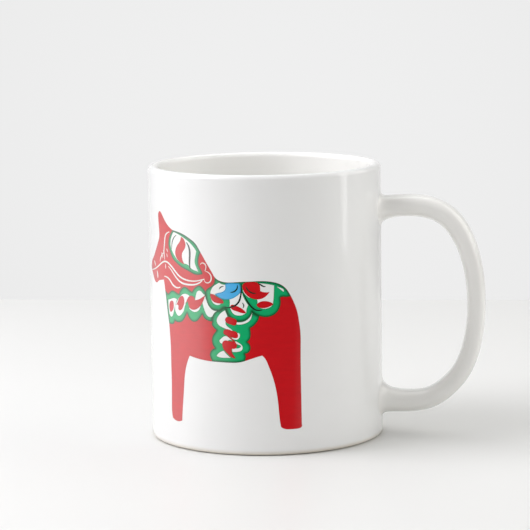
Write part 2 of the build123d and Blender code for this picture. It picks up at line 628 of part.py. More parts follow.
with BuildPart() as saddle_dark_lines:
    with BuildSketch(TRANSFER):
        stroke(0.6, (12.9, 59.4), (12.9, 57.3), (12.6, 55.3), (12, 53.4), (11, 52.2), (9.6, 51.5),
               (8.2, 51.1), (6.9, 51.3))
        stroke(0.6, (13.3, 56.8), (14.2, 54.7), (15.2, 52.9), (16.3, 51.5), (17.5, 50.6), (18.9, 50.3),
               (19.9, 50.5))
        stroke(0.5, (11.5, 58.9), (11.3, 57.6), (10.4, 56.7), (9, 56.4))
        stroke(0.4, (4.9, 57.3), (5.5, 58), (6.6, 58.3))
        stroke(0.5, (14.4, 58.5), (15.2, 57.2), (16.3, 56.4), (17.8, 56.2))
        stroke(0.5, (18.6, 59.4), (19.5, 59.1), (20.3, 58.6), (21.2, 58.5))
        stroke(0.4, (13.1, 52.9), (13.6, 52.1), (13.3, 51.1))
    press(5)
saddle_dark_lines.part.label = "saddle_dark_lines"
export_step(saddle_dark_lines.part, "parts/saddle_dark_lines.step")
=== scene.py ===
import math

import bpy
import numpy as np
from mathutils import Matrix, Vector, geometry


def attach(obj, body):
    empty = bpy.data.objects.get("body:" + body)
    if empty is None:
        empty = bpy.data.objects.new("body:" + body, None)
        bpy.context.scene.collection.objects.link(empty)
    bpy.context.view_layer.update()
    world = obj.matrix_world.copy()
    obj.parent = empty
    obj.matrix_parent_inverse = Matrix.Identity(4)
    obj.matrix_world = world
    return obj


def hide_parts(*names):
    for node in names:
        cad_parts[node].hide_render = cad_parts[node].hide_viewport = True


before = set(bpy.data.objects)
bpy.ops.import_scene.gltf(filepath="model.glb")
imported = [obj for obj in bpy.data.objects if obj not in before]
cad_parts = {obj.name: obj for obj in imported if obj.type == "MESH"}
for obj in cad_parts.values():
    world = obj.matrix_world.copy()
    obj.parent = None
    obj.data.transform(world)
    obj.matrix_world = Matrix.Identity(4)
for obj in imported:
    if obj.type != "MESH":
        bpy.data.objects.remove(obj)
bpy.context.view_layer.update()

MM = 0.001

# The cup, in millimetres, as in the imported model
WALL_R = 41.0
RIM_Z = 96.0
WALL = 3.5
FLOOR_Z = 6.5
COVE = 6.5
TOE = 1.0
BASE_Z = 0.15
FOOT_OUT = 38.2
FOOT_IN = 33.2
WELL_Z = 1.6
FOOT_ROUND = 0.45
WELL_ROUND = 0.7
GLAZE = 0.2
# The hair's breadth kept between a coat's back and the clay under it
SEAM = 0.02
TURNS = 288

# The transfer: where its middle sits round the wall, and how far apart its layers lie
PRINT_TURN = math.radians(-114.0)
LAYER = 0.02
SHEET_SHARE = 0.9

# Gloss: a soft body under a glassy coat. Colour seen square on shows little of either
BODY_ROUGH = 0.42
COAT_ROUGH = 0.10
GLASS_IOR = 1.5
ENAMEL_IOR = 1.6
SATIN_LEVEL = 0.05


# ------------------------------------------------------------------------------ node helpers


def new_material(name):
    """A node material with its shader, and a short way to add and join nodes."""
    mat = bpy.data.materials.new(name)
    mat.use_nodes = True
    tree = mat.node_tree
    shader = tree.nodes["Principled BSDF"]

    def add(kind, **inputs):
        node = tree.nodes.new(kind)
        for key, value in inputs.items():
            if hasattr(node, key):
                setattr(node, key, value)
            else:
                node.inputs[key.replace("_", " ")].default_value = value
        return node

    def join(source, output, target, socket):
        tree.links.new(source.outputs[output], target.inputs[socket])

    return mat, shader, add, join


def grain(add, join, vector, scale, detail=3.0, rough=0.5):
    """A noise texture in the row frame's own metres."""
    node = add("ShaderNodeTexNoise", Scale=scale, Detail=detail, Roughness=rough)
    join(vector, "Object", node, "Vector")
    return node


def ramp(add, stops, interpolation="LINEAR"):
    """A colour ramp with the given places and grey levels or colours."""
    node = add("ShaderNodeValToRGB")
    band = node.color_ramp
    band.interpolation = interpolation
    while len(band.elements) < len(stops):
        band.elements.new(0.5)
    for element, (place, colour) in zip(band.elements, stops):
        element.position = place
        element.color = (*colour, 1) if isinstance(colour, tuple) else (colour, colour, colour, 1)
    return node


# A mix node's sockets for colours, by number, because its names repeat
MIX_FACTOR, MIX_A, MIX_B, MIXED = 0, 6, 7, 2


def mix(add, kind, factor, a, b):
    """Mixes two colours, each a colour or a (node, output) pair."""
    node = add("ShaderNodeMix", data_type="RGBA", blend_type=kind)
    for socket, value in ((MIX_FACTOR, factor), (MIX_A, a), (MIX_B, b)):
        if isinstance(value, tuple) and hasattr(value[0], "outputs"):
            node.id_data.links.new(value[0].outputs[value[1]], node.inputs[socket])
        else:
            node.inputs[socket].default_value = (*value, 1) if isinstance(value, tuple) else value
    return node


# How dark glaze clouds are beside clear glaze, and its colour in a speck and where it runs thin
CLOUD_SHADE = 0.985
SPECK_COLOUR = (0.62, 0.58, 0.5)
THIN_COLOUR = (0.66, 0.61, 0.53)


def gloss(shader, ior=GLASS_IOR):
    """A glassy coat over a softer body, as glaze has over its bubbles."""
    shader.inputs["IOR"].default_value = ior
    shader.inputs["Roughness"].default_value = BODY_ROUGH
    shader.inputs["Coat Weight"].default_value = 1.0
    shader.inputs["Coat Roughness"].default_value = COAT_ROUGH
    shader.inputs["Coat IOR"].default_value = GLASS_IOR


def wavy(add, join, shader, coords):
    """The slow sag and fine orange peel of fired glaze, as bump."""
    slow = grain(add, join, coords, 55.0, 2.0)
    fine = grain(add, join, coords, 900.0, 2.0)
    sag = add("ShaderNodeBump", Strength=0.25, Distance=0.4 * MM)
    peel = add("ShaderNodeBump", Strength=0.05, Distance=0.04 * MM)
    join(slow, "Fac", sag, "Height")
    join(fine, "Fac", peel, "Height")
    join(sag, "Normal", peel, "Normal")
    join(peel, "Normal", shader, "Normal")


def glaze_material(name, tint):
    """White gloss glaze: faint clouding, a few pin specks, and a warmer edge where it thins at the foot."""
    mat, shader, add, join = new_material(name)
    coords = add("ShaderNodeTexCoord")
    cloud = grain(add, join, coords, 38.0, 4.0)
    clouding = ramp(add, [(0.3, tuple(c * CLOUD_SHADE for c in tint)), (0.7, tint)])
    join(cloud, "Fac", clouding, "Fac")
    specks = add("ShaderNodeTexVoronoi", Scale=210.0)
    join(coords, "Object", specks, "Vector")
    speck = ramp(add, [(0.0, 1.0), (0.035, 0.0)])
    join(specks, "Distance", speck, "Fac")
    rare = grain(add, join, coords, 90.0, 0.0)
    rare_only = ramp(add, [(0.66, 0.0), (0.72, 1.0)])
    join(rare, "Fac", rare_only, "Fac")
    both = mix(add, "MULTIPLY", 1.0, (speck, "Color"), (rare_only, "Color"))
    specked = mix(add, "MIX", (both, MIXED), (clouding, "Color"), SPECK_COLOUR)
    place = add("ShaderNodeSeparateXYZ")
    join(coords, "Object", place, "Vector")
    near_foot = ramp(add, [(0.0, 1.0), (1.0, 0.0)], "EASE")
    height = add("ShaderNodeMapRange", From_Min=0.4 * MM, From_Max=2.2 * MM)
    join(place, "Z", height, "Value")
    join(height, "Result", near_foot, "Fac")
    foot = mix(add, "MIX", (near_foot, "Color"), (specked, MIXED), THIN_COLOUR)
    join(foot, MIXED, shader, "Base Color")
    gloss(shader)
    wavy(add, join, shader, coords)
    return mat


def clay_material(name):
    """Bare fired clay: warm, matt and gritty, with fine dark and light grains."""
    mat, shader, add, join = new_material(name)
    coords = add("ShaderNodeTexCoord")
    body = grain(add, join, coords, 120.0, 6.0, 0.62)
    tone = ramp(add, [(0.3, (0.58, 0.52, 0.44)), (0.55, (0.71, 0.65, 0.57)), (0.75, (0.78, 0.73, 0.66))])
    join(body, "Fac", tone, "Fac")
    grit = add("ShaderNodeTexVoronoi", Scale=1500.0)
    join(coords, "Object", grit, "Vector")
    dark = ramp(add, [(0.0, 1.0), (0.16, 0.0)])
    join(grit, "Distance", dark, "Fac")
    gritty = mix(add, "MULTIPLY", 0.35, (tone, "Color"), (0.55, 0.45, 0.36))
    speckled = mix(add, "MIX", (dark, "Color"), (tone, "Color"), (gritty, MIXED))
    join(speckled, MIXED, shader, "Base Color")
    shader.inputs["Roughness"].default_value = 0.88
    bump = add("ShaderNodeBump", Strength=0.5, Distance=0.1 * MM)
    rough = grain(add, join, coords, 2600.0, 3.0, 0.6)
    join(rough, "Fac", bump, "Height")
    join(bump, "Normal", shader, "Normal")
    return mat


def enamel_material(name, colour, edge_colour, edge_mm, streak=0.08):
    """Fired-on enamel: its colour deepens towards the outline and carries faint brush streaks."""
    mat, shader, add, join = new_material(name)
    coords = add("ShaderNodeTexCoord")
    edge = add("ShaderNodeAttribute", attribute_name="edge_mm")
    reach = add("ShaderNodeMapRange", From_Min=0.0, From_Max=edge_mm)
    join(edge, "Fac", reach, "Value")
    deepen = ramp(add, [(0.0, edge_colour), (1.0, colour)], "EASE")
    join(reach, "Result", deepen, "Fac")
    brush = add("ShaderNodeTexNoise", Scale=1.0, Detail=3.0, Roughness=0.6)
    stretch = add("ShaderNodeMapping")
    stretch.inputs["Scale"].default_value = (260.0, 260.0, 900.0)
    join(coords, "Object", stretch, "Vector")
    join(stretch, "Vector", brush, "Vector")
    streaks = ramp(add, [(0.3, 1.0 - streak), (0.7, 1.0)])
    join(brush, "Fac", streaks, "Fac")
    laid = mix(add, "MULTIPLY", 1.0, (deepen, "Color"), (streaks, "Color"))
    join(laid, MIXED, shader, "Base Color")
    # Fired colour is satin seen square on and glossy at a slant
    slant = add("ShaderNodeLayerWeight", Blend=0.5)
    sheen = ramp(add, [(0.045, SATIN_LEVEL), (0.095, 0.5), (0.2, 1.0)])
    join(slant, "Facing", sheen, "Fac")
    join(sheen, "Color", shader, "Specular IOR Level")
    join(sheen, "Color", shader, "Coat Weight")
    gloss(shader, ENAMEL_IOR)
    wavy(add, join, shader, coords)
    return mat


glaze_white = glaze_material("glaze_white", (0.84, 0.84, 0.83))
# Painted light: the liner is the same glaze as the outside, coloured brighter and warmer to stand in for
# the light inside the cup
glaze_inside_painted_light = glaze_material("glaze_inside_painted_light", (0.93, 0.925, 0.90))
# Painted warm light: the handle's glaze is the same glaze, tinted warmer to stand in for warm bounced light
# on it
glaze_strap_painted_warm = glaze_material("glaze_strap_painted_warm", (0.84, 0.83, 0.80))
clay_bare = clay_material("clay_bare")
enamels = {
    "red": enamel_material("enamel_red", (0.6, 0.005, 0.010), (0.5, 0.004, 0.009), 0.35),
    "green": enamel_material("enamel_green", (0.004, 0.41, 0.145), (0.002, 0.085, 0.024), 1.1),
    "white": enamel_material("enamel_white", (0.84, 0.84, 0.82), (0.76, 0.80, 0.76), 0.2, 0.03),
    "blue": enamel_material("enamel_blue", (0.075, 0.43, 0.78), (0.03, 0.27, 0.50), 0.5),
    "dark": enamel_material("enamel_dark", (0.006, 0.018, 0.012), (0.012, 0.05, 0.03), 0.12, 0.2),
}


# ------------------------------------------------------------------------------ mesh helpers


def make_piece(name, verts, faces, material, stands_for, normals=None, attribute=None):
    """A smooth mesh in the row frame from millimetre points, riding on the one body."""
    mesh = bpy.data.meshes.new(name)
    mesh.from_pydata((np.asarray(verts, float) * MM).tolist(), [], [list(f) for f in faces])
    mesh.polygons.foreach_set("use_smooth", [True] * len(mesh.polygons))
    if attribute is not None:
        mesh.attributes.new("edge_mm", "FLOAT", "POINT").data.foreach_set("value", attribute)
    mesh.update()
    if normals is not None:
        corner = np.empty(len(mesh.loops), np.int32)
        mesh.loops.foreach_get("vertex_index", corner)
        mesh.normals_split_custom_set([tuple(n) for n in np.asarray(normals)[corner]])
    mesh.materials.append(material)
    piece = bpy.data.objects.new(name, mesh)
    bpy.context.scene.collection.objects.link(piece)
    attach(piece, "root")
    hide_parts(*stands_for)


def arc(centre, radius, start, stop, steps):
    """Points on an arc in the half section, from one angle to another in degrees."""
    angles = np.radians(np.linspace(start, stop, steps + 1))
    return [(centre[0] + radius * math.cos(a), centre[1] + radius * math.sin(a)) for a in angles]


def run(start, stop, steps):
    """Points along a straight run, closer together near both ends, leaving out the ends."""
    shares = (1 - np.cos(np.linspace(0, math.pi, steps + 1)[1:-1])) / 2
    return [(start[0] + (stop[0] - start[0]) * s, start[1] + (stop[1] - start[1]) * s) for s in shares]


def lathe(name, section, material, stands_for):
    """Turns a closed half section round the cup's axis. Points on the axis make one shared point."""
    verts, rows = [], []
    for radius, height in section:
        if radius < 1e-6:
            rows.append([len(verts)] * TURNS)
            verts.append((0.0, 0.0, height))
            continue
        rows.append(list(range(len(verts), len(verts) + TURNS)))
        for k in range(TURNS):
            angle = 2 * math.pi * k / TURNS
            verts.append((radius * math.cos(angle), radius * math.sin(angle), height))
    faces = []
    for row, above in zip(rows, rows[1:] + rows[:1]):
        if row[0] == row[1] and above[0] == above[1]:
            continue
        for k in range(TURNS):
            n = (k + 1) % TURNS
            ring = [row[k], row[n], above[n], above[k]]
            faces.append([v for i, v in enumerate(ring) if v != ring[i - 1]])
    make_piece(name, verts, faces, material, stands_for)


# ----------------------------------------------------------------------------------- the cup

lip = WALL / 2
lip_centre = (WALL_R - lip, RIM_Z - lip)
toe_centre = (WALL_R - TOE, BASE_Z + TOE)
cove_centre = (WALL_R - WALL - COVE, FLOOR_Z + COVE)
inner_r = WALL_R - WALL

# The glaze ends at the foot in a small rounded bead
outside = (
    [
        (FOOT_OUT, BASE_Z + 0.18),
        (FOOT_OUT + 0.03, BASE_Z + 0.07),
        (FOOT_OUT + 0.12, BASE_Z),
        (toe_centre[0] - 0.15, BASE_Z),
    ]
    + arc(toe_centre, TOE, -90, 0, 14)
    + run((WALL_R, toe_centre[1]), (WALL_R, lip_centre[1]), 40)
    + arc(lip_centre, lip, 0, 90, 16)
)
outside_back = (
    arc(lip_centre, lip - GLAZE, 90, 0, 10)
    + run((WALL_R - GLAZE, lip_centre[1]), (WALL_R - GLAZE, toe_centre[1]), 6)
    + arc(toe_centre, TOE - GLAZE, 0, -90, 8)
)
lathe("glaze_outside", outside + outside_back, glaze_white, ["outer_glaze"])

liner = (
    arc(lip_centre, lip, 90, 180, 16)
    + run((inner_r, lip_centre[1]), (inner_r, cove_centre[1]), 40)
    + arc(cove_centre, COVE, 0, -90, 20)
    + run((cove_centre[0], FLOOR_Z), (0.0, FLOOR_Z), 12)
    + [(0.0, FLOOR_Z)]
)
liner_back = (
    [(0.0, FLOOR_Z - GLAZE)]
    + run((0.0, FLOOR_Z - GLAZE), (cove_centre[0], FLOOR_Z - GLAZE), 4)
    + arc(cove_centre, COVE + GLAZE, -90, 0, 10)
    + run((inner_r + GLAZE, cove_centre[1]), (inner_r + GLAZE, lip_centre[1]), 6)
    + arc(lip_centre, lip - GLAZE, 180, 90, 10)
)
lathe("glaze_liner", liner + liner_back, glaze_inside_painted_light, ["liner_glaze"])

# The well's coat climbs a little way down the foot ring's inner side
well_centre = (FOOT_IN - 0.75, WELL_Z - WELL_ROUND)
well = (
    [(0.0, WELL_Z + GLAZE), (FOOT_IN, WELL_Z + GLAZE), (FOOT_IN, WELL_Z - 0.55)]
    + arc(well_centre, WELL_ROUND, 12, 90, 6)
    + run((well_centre[0], WELL_Z), (0.0, WELL_Z), 10)
    + [(0.0, WELL_Z)]
)
lathe("glaze_foot_well", well[::-1], glaze_white, ["foot_well_glaze"])

skin = GLAZE + SEAM
foot_in = (FOOT_IN + FOOT_ROUND, FOOT_ROUND)
foot_out = (FOOT_OUT - FOOT_ROUND, FOOT_ROUND)
clay = (
    [(0.0, WELL_Z + GLAZE), (FOOT_IN, WELL_Z + GLAZE), (FOOT_IN, FOOT_ROUND)]
    + arc(foot_in, FOOT_ROUND, 180, 270, 5)
    + run((foot_in[0], 0.0), (foot_out[0], 0.0), 6)
    + arc(foot_out, FOOT_ROUND, -90, 0, 5)
    + [(FOOT_OUT, BASE_Z + GLAZE)]
    + arc(toe_centre, TOE - skin, -90, 0, 8)
    + run((WALL_R - skin, toe_centre[1]), (WALL_R - skin, lip_centre[1]), 8)
    + arc(lip_centre, lip - skin, 0, 180, 14)
    + run((inner_r + skin, lip_centre[1]), (inner_r + skin, cove_centre[1]), 8)
    + arc(cove_centre, COVE + skin, 0, -90, 10)
    + [(0.0, FLOOR_Z - skin)]
)
lathe("clay_cup", clay, clay_bare, ["cup_body"])


# -------------------------------------------------------------------------------- the handle

# Centre line of the strap out from the axis and up from the table, its thickness and its width
STRAP = np.array([
    (40.0, 80.4, 7.6, 12.6),
    (45.5, 80.8, 7.6, 12.5),
    (51.2, 81.0, 7.6, 12.3),
    (57.8, 80.2, 7.6, 12.0),
    (64.2, 77.0, 7.6, 11.8),
    (69.3, 70.3, 7.3, 11.6),
    (72.9, 60.0, 6.9, 11.4),
    (74.3, 46.2, 6.5, 11.4),
    (72.9, 32.5, 6.5, 11.4),
    (69.3, 22.8, 6.6, 11.6),
    (64.1, 16.5, 6.8, 11.8),
    (57.8, 12.5, 7.0, 12.2),
    (51.2, 11.4, 7.4, 12.6),
    (45.5, 11.4, 7.7, 12.9),
    (40.0, 11.5, 7.9, 13.1),
])
RINGS = 150
ROUND = 56
SQUARENESS = 2.5
FINE_STEPS = 1200
# Half the length used to find which way the strap runs at a place
NEAR = 0.05
# How far each root's fillet reaches along the strap and over the wall: outer side, inner side, sides
TOP_ALONG = (2.2, 8.5, 4.5)
TOP_OVER = (1.7, 3.5, 2.4)
LOW_ALONG = (2.6, 9.0, 4.5)
LOW_OVER = (2.0, 4.7, 2.6)
FLARE_STEPS = 14
# Half the size of a root on the wall, and how far its fillet's foot is sunk in the wall's glaze
ROOT_WIDE, ROOT_TALL = 6.4, 3.7
SUNK = 0.012
# The rings are slanted at a root, and square to the strap from this far along it
BLEND = 16.0
BLEND_STEPS = 22
CORE_GAP = 0.03
SLIP_RINGS = 4


def natural_spline(places, values, wanted):
    """A natural cubic spline through the values, read off at the wanted places."""
    h = np.diff(places)
    n = len(places)
    system = np.eye(n)
    right = np.zeros_like(values)
    for i in range(1, n - 1):
        system[i, i - 1 : i + 2] = h[i - 1], 2 * (h[i - 1] + h[i]), h[i]
        right[i] = 6 * ((values[i + 1] - values[i]) / h[i] - (values[i] - values[i - 1]) / h[i - 1])
    bend = np.linalg.solve(system, right)
    i = np.clip(np.searchsorted(places, wanted) - 1, 0, n - 2)
    a = ((places[i + 1] - wanted) / h[i])[:, None]
    b = 1 - a
    hh = (h[i] ** 2)[:, None]
    return a * values[i] + b * values[i + 1] + ((a**3 - a) * bend[i] + (b**3 - b) * bend[i + 1]) * hh / 6


chords = np.concatenate([[0], np.cumsum(np.hypot(*np.diff(STRAP[:, :2], axis=0).T))])
fine_places = np.linspace(0, chords[-1], FINE_STEPS)
fine = natural_spline(chords, STRAP, fine_places)
arc_length = np.concatenate([[0], np.cumsum(np.hypot(*np.diff(fine[:, :2], axis=0).T))])
turn = np.linspace(0, 2 * math.pi, ROUND, endpoint=False)
cosine, sine = np.cos(turn), np.sin(turn)
across = np.sign(cosine) * np.abs(cosine) ** (2 / SQUARENESS)
sideways = np.sign(sine) * np.abs(sine) ** (2 / SQUARENESS)


def strap_points(lengths):
    """Points on the plain strap: one length along it for each place round its section."""
    line = np.stack([np.interp(lengths, arc_length, fine[:, k]) for k in range(4)], -1)
    ahead = np.stack([np.interp(lengths + NEAR, arc_length, fine[:, k]) for k in range(2)], -1)
    behind = np.stack([np.interp(lengths - NEAR, arc_length, fine[:, k]) for k in range(2)], -1)
    along = ahead - behind
    along /= np.linalg.norm(along, axis=-1, keepdims=True)
    out = np.stack([-along[..., 1], along[..., 0]], -1)
    half, wide = line[..., 2] / 2, line[..., 3] / 2
    x = line[..., 0] + out[..., 0] * across * half
    z = line[..., 1] + out[..., 1] * across * half
    return np.stack([x, sideways * wide, z], -1)


def to_wall(points):
    """Row frame to (turn round the axis in millimetres of wall, height, distance from the axis)."""
    return np.stack([np.arctan2(points[:, 1], points[:, 0]) * WALL_R, points[:, 2],
                     np.hypot(points[:, 0], points[:, 1])], -1)


def from_wall(points):
    """The way back from to_wall."""
    angle = points[:, 0] / WALL_R
    return np.stack([points[:, 2] * np.cos(angle), points[:, 2] * np.sin(angle), points[:, 1]], -1)


def root_flare(start_at, direction, along, over):
    """The fillet from the wall up to the strap, ring by ring, and where each side ends on the strap."""
    outer = np.clip(cosine, 0, 1) ** 2
    inner = np.clip(-cosine, 0, 1) ** 2
    side = sine**2
    reach = outer * along[0] + inner * along[1] + side * along[2]
    spread = outer * over[0] + inner * over[1] + side * over[2]
    # Step by step to the length at which each side of the plain strap meets the wall
    lengths = np.full(ROUND, start_at, float)
    for _ in range(30):
        gap = np.hypot(*strap_points(lengths)[:, :2].T) - WALL_R
        lengths -= direction * gap * 0.9
    meet = strap_points(lengths)
    ends = lengths + direction * reach
    top = strap_points(ends)
    slope = strap_points(ends + NEAR) - strap_points(ends - NEAR)
    slope *= direction / np.linalg.norm(slope, axis=1, keepdims=True)
    # The same for the strap's straight run back from the fillet's end
    back = np.full(ROUND, 0.0)
    for _ in range(40):
        back += (np.hypot(*(top - slope * back[:, None])[:, :2].T) - WALL_R) * 0.8
    corner = to_wall(top - slope * back[:, None])
    centre = to_wall(meet).mean(axis=0)
    away = corner[:, :2] - centre[:2]
    away = np.stack([away[:, 0] / ROOT_WIDE**2, away[:, 1] / ROOT_TALL**2], -1)
    away /= np.linalg.norm(away, axis=1, keepdims=True)
    foot = corner.copy()
    foot[:, :2] += away * spread[:, None]
    corner[:, 2] = WALL_R
    foot[:, 2] = WALL_R - SUNK
    peak = to_wall(top)
    rings = []
    for v in np.linspace(0, 1, FLARE_STEPS + 1)[:-1]:
        rings.append(from_wall((1 - v) ** 2 * foot + 2 * v * (1 - v) * corner + v**2 * peak))
    return rings, ends


total = arc_length[-1]
top_flare, top_ends = root_flare(1.0, 1, TOP_ALONG, TOP_OVER)
low_flare, low_ends = root_flare(total - 1.0, -1, LOW_ALONG, LOW_OVER)
strap_rings = list(top_flare)
for i in range(BLEND_STEPS):
    share = i / BLEND_STEPS
    strap_rings.append(strap_points(top_ends + (BLEND - top_ends) * share))
for length in np.linspace(BLEND, total - BLEND, RINGS):
    strap_rings.append(strap_points(np.full(ROUND, length)))
for i in range(1, BLEND_STEPS + 1):
    share = i / BLEND_STEPS
    strap_rings.append(strap_points((total - BLEND) + (low_ends - total + BLEND) * share))
strap_rings += low_flare[::-1]
strap_rings = np.array(strap_rings)


def ring_normals(rings):
    """Outward normals of a tube of rings, from the differences along and round it."""
    round_way = np.roll(rings, -1, axis=1) - np.roll(rings, 1, axis=1)
    long_way = np.gradient(rings, axis=0)
    normal = np.cross(long_way, round_way)
    normal /= np.linalg.norm(normal, axis=2, keepdims=True)
    return normal


def tube_faces(rings, first=0):
    """Quads between neighbouring rings of equal size, numbered from the first point."""
    faces = []
    for i in range(rings - 1):
        for k in range(ROUND):
            n = (k + 1) % ROUND
            a = first + i * ROUND
            faces.append((a + k, a + ROUND + k, a + ROUND + n, a + n))
    return faces


outward = ring_normals(strap_rings)
count = len(strap_rings)
half_way = strap_rings[count // 2]
if np.sum((half_way - half_way.mean(axis=0)) * outward[count // 2]) < 0:
    outward = -outward
# The first and last rings lie on the wall, so they take the wall's own normals
for end in (0, -1):
    outward[end] = strap_rings[end] * (1, 1, 0)
    outward[end] /= np.linalg.norm(outward[end], axis=1, keepdims=True)
skin_back = strap_rings - outward * GLAZE
outer_faces = tube_faces(count)
inner_faces = [tuple(reversed(f)) for f in tube_faces(count, count * ROUND)]
rims = []
for k in range(ROUND):
    n = (k + 1) % ROUND
    last, other = (count - 1) * ROUND, count * ROUND
    rims.append((k, n, other + n, other + k))
    rims.append((last + n, last + k, other + last + k, other + last + n))
handle_points = np.concatenate([strap_rings.reshape(-1, 3), skin_back.reshape(-1, 3)])
handle_normals = np.concatenate([outward.reshape(-1, 3), -outward.reshape(-1, 3)])
make_piece("glaze_handle", handle_points, outer_faces + inner_faces + rims, glaze_strap_painted_warm,
           ["handle_glaze"], normals=handle_normals)


def clay_run(name, rings, stands_for):
    """A solid length of the strap's clay, closed at both ends."""
    points = rings.reshape(-1, 3)
    faces = tube_faces(len(rings))
    last = (len(rings) - 1) * ROUND
    faces += [tuple(range(ROUND)), tuple(range(last + ROUND - 1, last - 1, -1))]
    make_piece(name, points, faces, clay_bare, stands_for)


core = strap_rings - outward * (GLAZE + CORE_GAP)
clay_run("slip_upper", core[: SLIP_RINGS + 1], ["upper_slip_joint"])
clay_run("clay_handle", core[SLIP_RINGS : count - SLIP_RINGS], ["handle"])
clay_run("slip_lower", core[count - SLIP_RINGS - 1 :], ["lower_slip_joint"])


# ------------------------------------------------------------------------------ the transfer

# Outline points closer than this are one point, in millimetres
MERGE = 0.03
# Inner points: the step between rows and the room they leave to the outline, as shares of the spacing
ROW_STEP = 0.866
ROOM = 0.45
# Beside a motif laid over it a ground's colour starts this far from its deep edge, and clears this fast
COVERED_START, COVERED_RISE = 0.45, 1.6
# Points compared with an outline at a time, to spare memory
BATCH = 400


def outline_loops(node):
    """The outlines of a packed enamel layer's outer face, unrolled to millimetres of wall and height."""
    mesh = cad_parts[node].data
    points = np.empty(len(mesh.vertices) * 3)
    mesh.vertices.foreach_get("co", points)
    points = points.reshape(-1, 3) / MM
    mesh.calc_loop_triangles()
    triangles = np.empty(len(mesh.loop_triangles) * 3, int)
    mesh.loop_triangles.foreach_get("vertices", triangles)
    triangles = triangles.reshape(-1, 3)
    distance = np.hypot(points[:, 0], points[:, 1])
    on_top = distance > (distance.min() + distance.max()) / 2
    keys, shared = np.unique(np.round(points, 4), axis=0, return_inverse=True)
    shared = shared.reshape(-1)
    top = shared[triangles[on_top[triangles].all(axis=1)]]
    angle = np.arctan2(keys[:, 1], keys[:, 0]) - PRINT_TURN
    angle = (angle + math.pi) % (2 * math.pi) - math.pi
    flat = np.stack([angle * WALL_R, keys[:, 2]], -1)
    follow = {}
    for a, b, c in top:
        for edge in ((a, b), (b, c), (c, a)):
            if edge[::-1] in follow:
                del follow[edge[::-1]]
            else:
                follow[edge] = True
    after = {}
    for a, b in follow:
        after.setdefault(a, []).append(b)
    loops = []
    while after:
        start = next(iter(after))
        loop, here = [start], start
        while True:
            nexts = after[here]
            step = nexts.pop()
            if not nexts:
                del after[here]
            if step == start:
                break
            loop.append(step)
            here = step
        loops.append(flat[loop])
    return loops


def evenly(loop, spacing):
    """A loop with points closer than a hair merged and long sides divided."""
    kept = [loop[0]]
    for point in loop[1:]:
        if np.hypot(*(point - kept[-1])) > MERGE:
            kept.append(point)
    if np.hypot(*(kept[0] - kept[-1])) < MERGE:
        kept.pop()
    full = []
    for a, b in zip(kept, kept[1:] + kept[:1]):
        pieces = max(1, int(math.ceil(np.hypot(*(b - a)) / spacing)))
        full += [a + (b - a) * k / pieces for k in range(pieces)]
    return np.array(full)


def distance_to(points, loops):
    """Each point's distance to the nearest side of any loop."""
    best = np.full(len(points), 1e9)
    for loop in loops:
        a = loop
        d = np.roll(loop, -1, axis=0) - a
        length = np.maximum((d**2).sum(axis=1), 1e-12)
        for i in range(0, len(points), BATCH):
            p = points[i : i + BATCH, None, :] - a[None]
            t = np.clip((p * d[None]).sum(-1) / length, 0, 1)
            gap = np.hypot(*np.moveaxis(p - t[..., None] * d[None], -1, 0))
            best[i : i + BATCH] = np.minimum(best[i : i + BATCH], gap.min(axis=1))
    return best


def inside(points, loops):
    """Whether each point lies inside an odd number of loops."""
    odd = np.zeros(len(points), bool)
    for loop in loops:
        a, b = loop, np.roll(loop, -1, axis=0)
        for i in range(0, len(points), BATCH):
            p = points[i : i + BATCH]
            crosses = (a[None, :, 1] > p[:, None, 1]) != (b[None, :, 1] > p[:, None, 1])
            with np.errstate(divide="ignore", invalid="ignore"):
                share = (p[:, None, 1] - a[None, :, 1]) / (b[None, :, 1] - a[None, :, 1])
            crossing = a[None, :, 0] + share * (b[None, :, 0] - a[None, :, 0])
            odd[i : i + BATCH] ^= ((crosses & (p[:, None, 0] < crossing)).sum(axis=1) % 2).astype(bool)
    return odd


def wrap(flat, radius):
    """Unrolled places back on the wall at a distance from the axis."""
    angle = flat[:, 0] / WALL_R + PRINT_TURN
    return np.stack([radius * np.cos(angle), radius * np.sin(angle), flat[:, 1]], -1)


